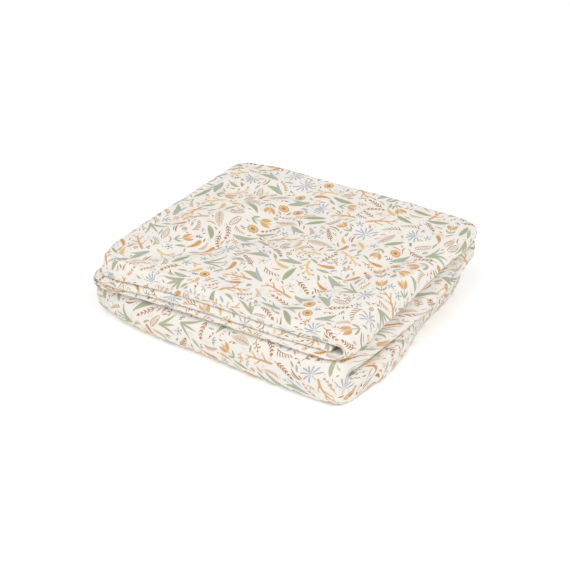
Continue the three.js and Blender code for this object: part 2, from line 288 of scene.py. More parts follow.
def wave(form, x, y):
    """A long trough or ridge at a slant over the top."""
    return form["height"] * np.exp(-(((y - form["slant"] * x - form["place"]) / form["width"]) ** 2))


def waves(x, y):
    long = wave(LONG_TROUGH, x, y) * ease(-170, -60, x) * ease(160, 60, x)
    return long + wave(LOW_RIDGE, x, y) + wave(SHORT_TROUGH, x, y) * ease(-40, 60, x)


def settle(x, y, z, w, v):
    """The even stack's edges step and draw in."""
    lower = ease(1, 1 + TURN, v)
    share = np.clip(w / WRAP_RADIUS, -OFFSET_REACH, OFFSET_REACH)
    inner = along(FRONT_INNER_LAYER, x)
    other = np.where(share > 0, along(FRONT_TOP_LAYER, x), along(FRONT_UNDER_LAYER, x))
    top = inner + (other - inner) * np.abs(share)
    pinch = np.exp(-(((z - PAIR_LEVEL) / VALLEY_WIDTH) ** 2))
    sx = x - along(VALLEY, y) * ease(VALLEY_FROM_X, VALLEY_FULL_X, x) * pinch
    offset = (1 - lower) * top + lower * along(FRONT_LOW, x)
    front = ease(FRONT_FROM_Y, FRONT_FULL_Y, y)
    back = ease(BACK_FROM_Y, BACK_FULL_Y, y)
    return sx, y + front * offset + back * along(BACK, sx)


def heights(x, y, z):
    """The even heights settle, and sink to the left."""
    rise = BACK_RISE * ease(RISE_FROM_X, RISE_FULL_X, x) * ease(RISE_FROM_Y, RISE_FULL_Y, y)
    even = [
        0,
        STRIP_HEIGHT + STRIP_GAP / 2,
        PAIR_LEVEL,
        PAIR_LEVEL + STRIP_GAP / 2 + 2 * LOFT + 1.5 * LAYER_GAP,
        TOP_LEVEL,
    ]
    settled = [
        0 * x,
        along(LOW_HEIGHT, x) + 0.5 * rise,
        along(PAIR_HEIGHT, x) + rise,
        along(UNDER_HEIGHT, x) + 0.6 * rise,
        along(TOP_HEIGHT, x),
    ]
    h = settled_height(even, settled, z)
    return h + (h / TOP_LEVEL) ** 3 * waves(x, y)


# What the solid leaves out: the seam allowance, puckers and soft bulges of the cloth

# The seam allowance turned in along the edge: how far in its step lies, its depth and its width
ALLOWANCE = 10.0
ALLOWANCE_DIP = 0.55
ALLOWANCE_WIDTH = 1.6

# Gathers along the seam: height, pitch along it, where they are strongest, their reach and start
PUCKER = 0.2
PUCKER_PITCH = 11.0
PUCKER_STRETCH = 0.3
PUCKER_PLACE = 4.5
PUCKER_REACH = 4.5
PUCKER_START = 2
PUCKER_SEED = 5

# How much of the gathers and the step is left, and how full the cloth is
EDGE_RELIEF = 0.7
FULLNESS = 1.08

# Uneven padding of the open cloth: height, pitch and turn of each layer of soft noise, and how
# far from a sewn edge it has its full height
PADDING = [(0.9, 58, 0.5), (0.55, 31, 1.3), (0.3, 17, 2.2)]
PADDING_SEED = 30
CALM = 30

# Where the outer face is free to bulge, as spans of u or v over which it comes, and how much less
# it does so towards the back
FREE_TOP_U = (1.1, 0.95)
FREE_TOP_V = (1.3, 1.2)
FREE_UNDER_U = (1.9, 2.05)
FREE_FOLD_U = (3.05, 2.97)
BACK_V = (0.8, 1)
BACK_CALM = 0.7

# Size of the noise's table
NOISE_SIZE = 64


def soft_noise(s, t, pitch, seed):
    """Smooth uneven heights between -1 and 1, without a direction of their own."""
    table = np.random.default_rng(seed).uniform(-1, 1, (NOISE_SIZE, NOISE_SIZE))
    i = np.asarray(s, float) / pitch
    j = np.asarray(t, float) / pitch
    a = i - np.floor(i)
    b = j - np.floor(j)
    a = a * a * a * (a * (6 * a - 15) + 10)
    b = b * b * b * (b * (6 * b - 15) + 10)
    i0 = np.floor(i).astype(int) % NOISE_SIZE
    j0 = np.floor(j).astype(int) % NOISE_SIZE
    i1 = (i0 + 1) % NOISE_SIZE
    j1 = (j0 + 1) % NOISE_SIZE
    low = table[i0, j0] * (1 - a) + table[i1, j0] * a
    high = table[i0, j1] * (1 - a) + table[i1, j1] * a
    return low * (1 - b) + high * b


def seam_share(edge):
    """Share of the loft at a distance from the sewn edge, where the two faces meet."""
    q = np.clip(edge / SEAM_WIDTH, 0, 1)
    return SEAM_SHARE + (1 - SEAM_SHARE) * np.sqrt(np.maximum(1 - (1 - q) ** 2, 0))


def pucker(edge, place):
    """Small gathers that the seam draws into the cloth, and the step of its allowance."""
    beat = soft_noise(place, PUCKER_STRETCH * edge, PUCKER_PITCH, PUCKER_SEED)
    strength = np.exp(-(((edge - PUCKER_PLACE) / PUCKER_REACH) ** 2))
    gathers = 2 * PUCKER * beat * strength * ease(0, PUCKER_START, edge)
    return gathers - ALLOWANCE_DIP * np.exp(-(((edge - ALLOWANCE) / ALLOWANCE_WIDTH) ** 2))


def bulges(s, t):
    """Heights of the uneven padding over the open cloth."""
    total = 0 * s
    for k, (height, pitch, turn) in enumerate(PADDING):
        across = math.cos(turn) * s + math.sin(turn) * t
        along_it = math.cos(turn) * t - math.sin(turn) * s
        total = total + height * soft_noise(across, along_it, pitch, PADDING_SEED + k)
    return total


# Soft troughs and ridges in the top layer's padding: height, width and the line it follows in x, y,
# and the spans of u and v over which they come
RELIEF = [
    (-2.6, 15, [(-120, -108), (-92, -76), (-68, -50), (-49, -7), (-38, 61)]),
    (-2.8, 13, [(40, -115), (52, -85), (76, -38), (94, 1), (114, 52)]),
    (-1.8, 13, [(-116, 60), (-52, 88)]),
    (1.6, 15, [(-6, -60), (6, -15), (22, 31), (40, 71)]),
    (1.6, 14, [(-116, -44), (-94, -6), (-74, 31)]),
    (1.3, 12, [(112, -90), (126, -15), (120, 83)]),
]
RELIEF_U = (1.25, 0.95)
RELIEF_V = (1.2, 0.98)

# A small tuck at the front right corner of the lowest fold: depth, width, its line in u and v,
# and the cloth's length in millimetres for one of each there
TUCK_DEPTH = 1.9
TUCK_WIDTH = 2.6
TUCK_LINE = [(1.12, 2.39), (1.3, 2.465), (1.5, 2.5), (1.66, 2.465)]
TUCK_SCALE = (42.0, 250.0)


def from_line(x, y, line):
    """Distance from a line of points."""
    away = np.full(np.shape(x), np.inf)
    for (x0, y0), (x1, y1) in zip(line, line[1:]):
        run_x = x1 - x0
        run_y = y1 - y0
        q = np.clip(((x - x0) * run_x + (y - y0) * run_y) / (run_x**2 + run_y**2), 0, 1)
        away = np.minimum(away, np.hypot(x - x0 - q * run_x, y - y0 - q * run_y))
    return away


def open_place(u, v):
    """Rough distances over the open cloth both ways, then those from its sewn edges."""
    s = np.minimum(u, 1) * TOP_LAYER_LENGTH + np.clip(u - 1, 0, 1) * WRAP_LENGTH
    s = s + np.clip(u - 2, 0, 1) * UNDER_LAYER_LENGTH + np.clip(u - 3, 0, 1) * INNER_FOLD_LENGTH
    s = s + np.maximum(u - 4, 0) * INNER_LAYER_LENGTH
    across = np.minimum(u * TOP_LAYER_LENGTH, (U_END - u) * INNER_LAYER_LENGTH)
    length = np.minimum(v, V_END - v) * STRIP_LENGTH
    return s, v * STRIP_LENGTH, across, length


def relief(x, y, u, v, side):
    """The top's troughs and ridges, by distance from their lines; none near a sewn edge."""
    _, _, across, length = open_place(u, v)
    share = ease(*RELIEF_U, u) * ease(*RELIEF_V, v) * ease(0, CALM, across) * ease(0, CALM, length)
    total = 0 * x
    for height, width, line in RELIEF:
        total = total + height * np.exp(-((from_line(x, y, line) / width) ** 2))
    return share * (side > 0) * total


def tuck(u, v):
    """Depth of the small tuck at the corner."""
    scale_u, scale_v = TUCK_SCALE
    line = [(a * scale_u, b * scale_v) for a, b in TUCK_LINE]
    return TUCK_DEPTH * np.exp(-((from_line(u * scale_u, v * scale_v, line) / TUCK_WIDTH) ** 2))


def exposed(u, v):
    """1 where the outer face is free to bulge, 0 where it lies on another layer or the floor."""
    top = ease(*FREE_TOP_U, u) * ease(*FREE_TOP_V, v) * (1 - BACK_CALM * ease(*BACK_V, v))
    wrap = np.sin(np.pi * np.clip(u - 1, 0, 1))
    fold = np.sin(np.pi * np.clip(u - 3, 0, 1))
    front = ease(*FREE_UNDER_U, u) * ease(*FREE_FOLD_U, u)
    front = front * np.sin(np.pi * np.clip((v - 2 - TURN) / TURN, 0, 1))
    return np.maximum.reduce([top, wrap, fold, front])


def half_loft(u, v, side, thin_across, thin_length):
    """From the cloth's middle to one of its faces, with the gathers, bulges and tuck."""
    s, t, across, length = open_place(u, v)
    share_across = seam_share(across) if thin_across else 1.0
    share_length = seam_share(length) if thin_length else 1.0
    share = share_across * share_length
    gathers = pucker(across, t) * share_length + pucker(length, s) * share_across
    loft = FULLNESS * LOFT / 2 * share + EDGE_RELIEF * gathers * share
    inward = ease(0, CALM, across) * ease(0, CALM, length)
    loft = loft + np.where(side > 0, exposed(u, v) * bulges(s, t) * inward, 0)
    return loft - np.where(side > 0, tuck(u, v), 0)


def cloth_point(u, v, side, thin_across=True, thin_length=True):
    """A point of the cloth's outer (1) or inner (-1) face, in millimetres in the model's frame.

    The two switches leave out the thinning towards the sewn edges across the strip or along it.
    """
    loft = half_loft(u, v, side, thin_across, thin_length)
    x, w = across_strip(u, side * loft, v)
    y, z = along_stack(x, w, v)
    z = z + relief(x, y, u, v, side)
    sx, sy = settle(x, y, z, w, v)
    return np.stack([sx, sy, np.maximum(heights(sx, sy, z), 0)], -1) - BOX_CENTRE


# Half the distance in u and v between the points that give a normal, and its least length
NORMAL_STEP = 0.002
LEAST_LENGTH = 1e-9


def cloth_normal(u, v, side):
    """The face's outward normal, from points a little to each side."""
    low_u = np.maximum(u - NORMAL_STEP, 0)
    high_u = np.minimum(u + NORMAL_STEP, U_END)
    low_v = np.maximum(v - NORMAL_STEP, 0)
    high_v = np.minimum(v + NORMAL_STEP, V_END)
    along_u = cloth_point(high_u, v, side) - cloth_point(low_u, v, side)
    along_v = cloth_point(u, high_v, side) - cloth_point(u, low_v, side)
    normal = np.cross(along_u, along_v) * side
    return normal / np.maximum(np.linalg.norm(normal, axis=-1, keepdims=True), LEAST_LENGTH)


# The cloth's mesh: one closed skin, fine where it shows

# Distances of the first stations from a sewn edge
EDGE_STEPS = [0, 0.25, 0.7, 1.4, 2.4, 3.8, 5.5, 7.5, 9, 10, 11, 12.5]


def stations(marks, first_length, last_length):
    """Places along the cloth: close at both sewn edges, then each (end, count) stretch evenly."""
    start = [d / first_length for d in EDGE_STEPS]
    end = [marks[-1][0] - d / last_length for d in reversed(EDGE_STEPS)]
    places = list(start)
    for k, (mark, count) in enumerate(marks):
        stop = end[0] if k == len(marks) - 1 else mark
        places.extend(np.linspace(places[-1], stop, count + 1)[1:])
    return np.array(places + end[1:])


# Stations across the strip and along it
ACROSS = stations([(1, 88), (2, 22), (3, 50), (4, 12), (5, 28)], TOP_LAYER_LENGTH, INNER_LAYER_LENGTH)
LENGTH = stations([(1, 76), (1.25, 20), (2.25, 34), (2.5, 30), (3.5, 34)], STRIP_LENGTH, STRIP_LENGTH)

# Station from which the cloth's own distances are counted, so that an edge that is drawn in
# doesn't shear the print beside it
ANCHOR_U = 0.5
ANCHOR_V = 0.5


def arc_lengths(points, axis, anchor):
    """Distances along one direction of a grid of points, alike at the anchor and never negative."""
    steps = np.linalg.norm(np.diff(points, axis=axis), axis=-1)
    start = np.zeros_like(np.take(steps, [0], axis=axis))
    lengths = np.concatenate([start, np.cumsum(steps, axis=axis)], axis=axis)
    lengths = lengths - np.take(lengths, [anchor], axis=axis)
    return lengths - lengths.min()


GRID_U, GRID_V = np.meshgrid(ACROSS, LENGTH, indexing="ij")
FACES = {side: cloth_point(GRID_U, GRID_V, side) for side in SIDES}
AT_U = int(np.searchsorted(ACROSS, ANCHOR_U))
AT_V = int(np.searchsorted(LENGTH, ANCHOR_V))

# Distances over the open cloth: across the strip and along it
OPEN_S = {}
OPEN_T = {}
for face in SIDES:
    OPEN_S[face] = arc_lengths(cloth_point(GRID_U, GRID_V, face, thin_length=False), 0, AT_U)
    OPEN_T[face] = arc_lengths(cloth_point(GRID_U, GRID_V, face, thin_across=False), 1, AT_V)
MAP_WIDTH = float(OPEN_S[1].max())
MAP_LENGTH = float(OPEN_T[1].max())

# Parts of the bake's map: its columns, and the rows of the outer and the inner face
MAP_COLUMNS = (0.01, 0.99)
MAP_ROWS = {1: (0.01, 0.6), -1: (0.62, 0.99)}


def map_place(s, t, side):
    """Place in the bake's map of a point of the open cloth."""
    left, right = MAP_COLUMNS
    low, high = MAP_ROWS[side]
    across = left + (right - left) * np.clip(s / MAP_WIDTH, 0, 1)
    return np.stack([across, low + (high - low) * np.clip(t / MAP_LENGTH, 0, 1)], -1)


def add_uv(mesh, name, corner_uv):
    """Adds a map from its values at the faces' corners."""
    layer = mesh.uv_layers.new(name=name)
    layer.data.foreach_set("uv", np.ascontiguousarray(corner_uv, dtype=np.float32).ravel())


def add_object(name, data):
    """Puts a mesh, a lamp or a camera into the scene."""
    item = bpy.data.objects.new(name, data)
    bpy.context.scene.collection.objects.link(item)
    return item


def add_skin(name, points, quads, places, packed):
    """A smooth mesh that carries the open cloth's distances and the bake's map."""
    mesh = bpy.data.meshes.new(name)
    mesh.from_pydata((points * MM).tolist(), [], quads.tolist())
    mesh.polygons.foreach_set("use_smooth", np.ones(len(quads), bool))
    corners = quads.ravel()
    add_uv(mesh, "Cloth", places[corners] * MM)
    add_uv(mesh, "OFBake", packed[corners])
    return add_object(name, mesh)


def grid_quads(rows, columns, start=0):
    """Faces between the points of a grid, numbered from a start."""
    at = np.arange(rows * columns).reshape(rows, columns) + start
    return np.stack([at[:-1, :-1], at[1:, :-1], at[1:, 1:], at[:-1, 1:]], -1).reshape(-1, 4)


def make_cloth():
    """Both faces as grids, joined by a rim of quads round the sewn edges."""
    rows, columns = GRID_U.shape
    sheet = rows * columns
    at = np.arange(sheet).reshape(rows, columns)
    outer = grid_quads(rows, columns)
    rim = np.concatenate([at[0], at[1:, -1], at[-1, -2::-1], at[-2:0:-1, 0]])
    after = np.roll(rim, -1)
    edge = np.stack([rim, after, after + sheet, rim + sheet], -1)
    quads = np.concatenate([outer, outer[:, ::-1] + sheet, edge])
    points = np.concatenate([FACES[side].reshape(-1, 3) for side in SIDES])
    places = [np.stack([OPEN_S[side].ravel(), OPEN_T[side].ravel()], -1) for side in SIDES]
    packed = [map_place(place[:, 0], place[:, 1], side) for side, place in zip(SIDES, places)]
    return add_skin("blanket_cloth", points, quads, np.concatenate(places), np.concatenate(packed))


# Places of the open cloth: from distances on it to the fold's own coordinates

LOOKUP_PITCH = 2.5
LOOKUP_ROUNDS = 3
LEAST_STEP = 1e-6


def crossing(lengths, value):
    """For each column of rising lengths, the fractional row at which it reaches its value."""
    low = np.clip((lengths < value).sum(axis=0) - 1, 0, len(lengths) - 2)
    columns = np.arange(lengths.shape[1])
    a = lengths[low, columns]
    b = lengths[low + 1, columns]
    return low + np.clip((value - a) / np.maximum(b - a, LEAST_STEP), 0, 1)


def pick_columns(table, places, stations_at):
    """Columns of a table at fractional stations."""
    at = np.interp(places, stations_at, np.arange(len(stations_at)))
    low = np.clip(at.astype(int), 0, len(stations_at) - 2)
    share = at - low
    return table[:, low] * (1 - share) + table[:, low + 1] * share


def make_lookup(side):
    """Grids of u and v over the open cloth, in steps of the lookup's pitch."""
    s = np.arange(0, OPEN_S[side].max() + LOOKUP_PITCH, LOOKUP_PITCH)
    t = np.arange(0, OPEN_T[side].max() + LOOKUP_PITCH, LOOKUP_PITCH)
    s_at, t_at = [a.ravel() for a in np.meshgrid(s, t, indexing="ij")]
    v = np.interp(t_at, OPEN_T[side].mean(axis=0), LENGTH)
    for _ in range(LOOKUP_ROUNDS):
        row = crossing(pick_columns(OPEN_S[side], v, LENGTH), s_at)
        u = np.interp(row, np.arange(len(ACROSS)), ACROSS)
        row = crossing(pick_columns(OPEN_T[side].T, u, ACROSS), t_at)
        v = np.interp(row, np.arange(len(LENGTH)), LENGTH)
    return u.reshape(len(s), len(t)), v.reshape(len(s), len(t))


LOOKUP = {side: make_lookup(side) for side in SIDES}


def fold_place(s, t, side):
    """u and v of points of the open cloth."""
    u_grid, v_grid = LOOKUP[side]
    i = np.clip(s / LOOKUP_PITCH, 0, u_grid.shape[0] - 1.001)
    j = np.clip(t / LOOKUP_PITCH, 0, u_grid.shape[1] - 1.001)
    i0 = i.astype(int)
    j0 = j.astype(int)
    a = i - i0
    b = j - j0

    def mix(grid):
        near = grid[i0, j0] * (1 - a) + grid[i0 + 1, j0] * a
        return near * (1 - b) + (grid[i0, j0 + 1] * (1 - a) + grid[i0 + 1, j0 + 1] * a) * b

    return mix(u_grid), mix(v_grid)


# What shows of each face of the folded cloth: boxes of low u, high u, low v and high v
ANY = math.inf
SEEN = {
    1: [
        (-ANY, 1.05, -ANY, 1.3),
        (0.94, 2.06, -ANY, ANY),
        (2.93, 4.06, -ANY, ANY),
        (1.9, 3.1, 2.2, ANY),
        (-ANY, ANY, -ANY, 0.11),
        (-ANY, ANY, 3.42, ANY),
        (-ANY, 0.06, -ANY, ANY),
        (4.95, ANY, -ANY, ANY),
    ],
    -1: [
        (-ANY, ANY, -ANY, 0.11),
        (-ANY, ANY, 3.42, ANY),
        (-ANY, 0.05, -ANY, ANY),
        (4.93, ANY, -ANY, ANY),
    ],
}


def shows(u, v, side):
    """True where a face of the folded cloth can be seen."""
    boxes = [(u > u0) & (u < u1) & (v > v0) & (v < v1) for u0, u1, v0, v1 in SEEN[side]]
    return np.logical_or.reduce(boxes)


# Shapes of the print, each a grid of points in millimetres, drawn from strokes and discs

RNG = np.random.default_rng(20)
CELL = 1.7
THINNEST = 0.04
SMALLEST_RING = 0.02


def turned(points, angle, origin=(0.0, 0.0)):
    """Points turned about zero, then moved."""
    c = math.cos(angle)
    s = math.sin(angle)
    return points @ np.array([[c, s], [-s, c]]) + origin


def polar(radius, angle):
    """A point at a distance and a direction from zero."""
    return np.array([radius * math.cos(angle), radius * math.sin(angle)])


# Half a stroke's width at each share of its length
OUTLINES = {
    "leaf": lambda q: np.sin(np.pi * q ** 0.85) ** 0.85,
    "paddle": lambda q: q ** 0.7 * np.sqrt(np.maximum(1 - q ** 5, 0)) * 1.15,
    "bar": lambda q: np.sqrt(np.maximum(1 - (2 * q - 1) ** 6, 0)),
    "taper": lambda q: np.sqrt(np.maximum(1 - (2 * q - 1) ** 8, 0)) * (1.1 - 0.75 * q),
}


def stroke(length, width, angle=0.0, origin=(0.0, 0.0), bend=0.0, outline="leaf"):
    """A curved stroke of the outline's width, as a grid of points along and across it."""
    steps = max(4, math.ceil(length / CELL))
    q = 0.5 - 0.5 * np.cos(np.pi * np.arange(steps + 1) / steps)
    heading = bend * (q - 0.5)
    middle = (heading[1:] + heading[:-1]) / 2
    step = np.diff(q) * length
    x = np.concatenate([[0], np.cumsum(step * np.cos(middle))])
    y = np.concatenate([[0], np.cumsum(step * np.sin(middle))])
    half = np.maximum(width / 2 * OUTLINES[outline](q), THINNEST)
    sides = np.linspace(-1, 1, max(1, math.ceil(width / CELL)) + 1)
    spread = half[:, None] * sides
    grid = np.stack([
        x[:, None] - np.sin(heading)[:, None] * spread,
        y[:, None] + np.cos(heading)[:, None] * spread,
    ], -1)
    return turned(grid, angle, origin)


def line_point(length, bend, q):
    """Point and heading at a share q of a bent stroke's middle line."""
    r = length / bend
    start = -bend / 2
    heading = start + bend * q
    x = r * (math.sin(heading) - math.sin(start))
    y = r * (math.cos(start) - math.cos(heading))
    return np.array([x, y]), heading


def disc(radius, origin=(0.0, 0.0), inner=0.0, lobes=0, depth=0.0, sides=12):
    """A disc, ring or scalloped flower head, as a grid of points out from and around its middle."""
    angle = np.linspace(0, 2 * np.pi, max(sides, 4 * lobes) + 1)
    edge = radius * (1 + depth * np.cos(lobes * angle))
    rings = np.linspace(inner, 1, max(1, math.ceil(radius * (1 - inner) / CELL)) + 1)
    r = np.maximum(rings, SMALLEST_RING)[:, None] * edge
    return np.stack([r * np.cos(angle), r * np.sin(angle)], -1) + origin


# The motifs: lists of (ink, level, grid), where a higher level is printed over a lower one. The
# numbers in them are widths and lengths in millimetres, shares of the size, and angles in radians


def broad_leaf(ink, over, size):
    """A single leaf with a thin midrib and a stalk."""
    bend = RNG.uniform(-0.9, 0.9)
    return [
        (ink, 0, stroke(size, size * RNG.uniform(0.24, 0.3), bend=bend)),
        (over, 1, stroke(size * 0.8, 0.5, 0.0, (size * 0.04, 0), bend * 0.8, "taper")),
        (ink, 0, stroke(size * 0.2, 0.8, np.pi - bend / 2, outline="bar")),
    ]


def flecked_leaf(ink, over, size):
    """A long leaf with short flecks on both sides of its middle."""
    bend = RNG.uniform(-0.7, 0.7)
    width = size * 0.26
    shapes = [(ink, 0, stroke(size, width, bend=bend))]
    for k in range(7):
        place, heading = line_point(size, bend, 0.18 + 0.1 * k)
        for way in (-1, 1):
            shapes.append((over, 1, stroke(width * 0.36, 0.5, heading + way * 0.9, place, outline="taper")))
    return shapes


def twin_leaf(ink, other, size):
    """A long leaf with a narrow one of another ink beside it."""
    return [
        (ink, 0, stroke(size, size * 0.24, 0.2, bend=0.7)),
        (other, 0, stroke(size * 0.85, size * 0.12, -0.32, (0.6, -0.4), -0.5)),
    ]


def reeds(ink, size):
    """Three or four long narrow leaves from one foot."""
    shapes = []
    count = int(RNG.integers(3, 5))
    for k in range(count):
        q = k / (count - 1) - 0.5
        reach = size * RNG.uniform(0.7, 1.0)
        shapes.append((ink, 0, stroke(reach, RNG.uniform(2.0, 3.2), 1.1 * q, (0.0, q), 1.3 * q)))
    return shapes


def sprig(ink, size, leaf=5.2, thick=1.3, spacing=3.3):
    """A stem with narrow leaflets in pairs, shorter towards its tip."""
    bend = RNG.uniform(-1.0, 1.0)
    pairs = max(3, round(size * 0.75 / spacing))
    shapes = [(ink, 0, stroke(size, 0.65, bend=bend, outline="taper"))]
    for k in range(pairs):
        q = 0.2 + 0.72 * k / (pairs - 1)
        place, heading = line_point(size, bend, q)
        reach = leaf * (1.1 - 0.55 * q)
        for way in (-1, 1):
            shapes.append((ink, 0, stroke(reach, thick, heading + way * 0.62, place, -way * 0.3)))
    place, heading = line_point(size, bend, 0.97)
    shapes.append((ink, 0, stroke(leaf * 0.6, thick, heading, place)))
    return shapes


def plume(ink, size):
    """A curved stem with long leaflets on its outer side only."""
    bend = RNG.uniform(0.6, 1.2)
    shapes = [(ink, 0, stroke(size, 0.8, bend=bend, outline="taper"))]
    for k in range(6):
        q = 0.12 + 0.84 * k / 5
        place, heading = line_point(size, bend, q)
        shapes.append((ink, 0, stroke(size * 0.36 * (1.2 - 0.6 * q), 1.1, heading - 0.75, place, 0.5)))
    return shapes


def twig(ink, tip, size):
    """A bent branch with blunt forks, and buds at their ends."""
    bend = RNG.uniform(-1.2, 1.2)
    shapes = [(ink, 0, stroke(size, 3.0, bend=bend, outline="taper"))]
    for k in range(4):
        q = 0.25 + 0.19 * k
        turn = 0.75 if k % 2 else -0.75
        place, heading = line_point(size, bend, q)
        reach = size * (0.34 - 0.18 * q)
        end = place + polar(reach * 1.02, heading + turn)
        shapes.append((ink, 0, stroke(reach, 1.9, heading + turn, place, -turn * 0.5, "taper")))
        shapes.append((tip, 1, disc(1.3, end, sides=9)))
    return shapes


def fan(ink, size):
    """Petals spread from the end of a short stalk."""
    shapes = []
    count = int(RNG.integers(7, 10))
    spread = RNG.uniform(3.0, 4.6)
    for k in range(count):
        angle = spread * (k / (count - 1) - 0.5)
        reach = size * (0.5 + 0.07 * math.cos(5 * k))
        lean = 0.5 if angle > 0 else -0.5
        shapes.append((ink, 0, stroke(reach, 2.1, angle, polar(1.1, angle), lean, "paddle")))
    shapes.append((ink, 0, stroke(size * 0.34, 0.8, math.pi, outline="bar")))
    return shapes


def round_flower(ink, over, centre, size):
    """A scalloped flower head with a ring and a dotted middle."""
    shapes = [
        (ink, 0, disc(size / 2, lobes=int(RNG.integers(9, 13)), depth=0.09)),
        (over, 1, disc(size * 0.35, inner=0.7)),
    ]
    for k in range(7):
        shapes.append((centre, 1, disc(0.6, polar(size * 0.13, 2 * np.pi * k / 7), sides=6)))
    shapes.append((centre, 1, disc(0.65, sides=6)))
    return shapes


def sprout(ink, size):
    """A few short strokes from one point."""
    shapes = []
    count = int(RNG.integers(3, 6))
    for k in range(count):
        angle = 2.1 * (k / (count - 1) - 0.5)
        reach = size * RNG.uniform(0.35, 0.55)
        shapes.append((ink, 0, stroke(reach, 0.95, angle, polar(0.9, angle))))
    return shapes


def arcs(ink, size, other=None):
    """A curved stroke, alone or with a shorter one beside it."""
    bend = RNG.uniform(0.7, 1.4) * RNG.choice([-1, 1])
    shapes = [(ink, 0, stroke(size, 1.7, bend=bend))]
    if other:
        shapes.append((other, 0, stroke(size * 0.72, 1.1, 0.1, (size * 0.1, 2.5), bend)))
    return shapes


def berries(ink, fruit, size):
    """A stem with berries on short stalks."""
    bend = RNG.uniform(-1.0, 1.0)
    shapes = [(ink, 0, stroke(size, 0.6, bend=bend, outline="bar"))]
    for k in range(5):
        place, heading = line_point(size, bend, 0.3 + 0.17 * k)
        angle = heading + (0.9 if k % 2 else -0.9)
        shapes.append((ink, 0, stroke(2.4, 0.5, angle, place, outline="bar")))
        shapes.append((fruit, 0, disc(RNG.uniform(0.8, 1.2), place + polar(2.6, angle), sides=9)))
    return shapes


def open_leaf(ink, size):
    """A leaf in outline, with hatching."""
    shapes = []
    turn = 1.25
    for way in (-1, 1):
        shapes.append((ink, 1, stroke(size * 1.04, 0.65, way * turn * 0.02, bend=-way * turn, outline="bar")))
    for k in range(5):
        place = (size * (0.2 + 0.12 * k), 0.0)
        reach = size * 0.17 * math.sin(math.pi * (0.25 + 0.12 * k))
        for way in (-1, 1):
            shapes.append((ink, 1, stroke(reach, 0.45, way * 0.8, place, outline="taper")))
    return shapes


def veined_leaf(ink, over, size):
    """A large pale leaf with a midrib and curved veins."""
    bend = RNG.uniform(-0.6, 0.6)
    width = size * 0.32
    shapes = [
        (ink, 0, stroke(size, width, bend=bend)),
        (over, 1, stroke(size * 0.9, 0.6, bend=bend * 0.9, outline="taper")),
    ]
    for k in range(4):
        place, heading = line_point(size, bend, 0.2 + 0.15 * k)
        for way in (-1, 1):
            vein = stroke(width * 0.5, 0.5, heading + way * 0.7, place, -way * 0.5, "taper")
            shapes.append((over, 1, vein))
    return shapes


def tulip(ink, over, leaf, size):
    """A bud on a stem between two leaves."""
    head = size * 0.5
    shapes = [(leaf, 0, stroke(size * 0.55, 0.8, outline="bar"))]
    for way in (-1, 0, 1):
        origin = (size * 0.45, way * head * 0.08)
        petal = stroke(head, head * 0.36, way * 0.34, origin, -way * 0.5)
        shapes.append((ink if way else over, abs(way), petal))
    for way in (-1, 1):
        shapes.append((leaf, 0, stroke(size * 0.4, size * 0.11, way * 0.6, (size * 0.06, 0), -way * 0.6)))
    return shapes


def pod(ink, over, leaf, size):
    """A plump seed pod with a row of seeds and a leaf at its stalk."""
    shapes = [(ink, 0, stroke(size, size * 0.34, bend=0.8, outline="paddle"))]
    for k in range(4):
        place, _ = line_point(size, 0.8, 0.42 + 0.14 * k)
        shapes.append((over, 1, disc(0.8, place, sides=8)))
    shapes.append((leaf, 0, stroke(size * 0.6, size * 0.17, 2.5, (0.5, 0.5), 0.6)))
    return shapes


def petals(ink, centre, size):
    """A small open flower."""
    shapes = []
    for k in range(5):
        angle = 2 * np.pi * k / 5
        shapes.append((ink, 0, stroke(size * 0.45, size * 0.24, angle, polar(0.7, angle), outline="paddle")))
    shapes.append((centre, 1, disc(size * 0.09, sides=8)))
    return shapes


def small_leaf(ink, size):
    """One small leaf."""
    return [(ink, 0, stroke(size, size * 0.28, bend=RNG.uniform(-0.8, 0.8)))]


def paired_buds(ink, size):
    """Two small wedges on a thin stalk."""
    shapes = [(ink, 0, stroke(size, 0.45, bend=0.5, outline="bar"))]
    for q in (0.35, 0.95):
        place, heading = line_point(size, 0.5, q)
        shapes.append((ink, 0, stroke(2.8, 2.0, heading + 0.8, place, outline="paddle")))
    return shapes


def dots(ink, count=3):
    """Specks in a short zigzag."""
    return [(ink, 0, disc(0.55, (2.1 * k, 0.9 * (k % 2)), sides=6)) for k in range(count)]


def ring(ink, over, size):
    """A ring with a dot in it."""
    return [(ink, 0, disc(size / 2, inner=0.62)), (over, 0, disc(size * 0.2))]


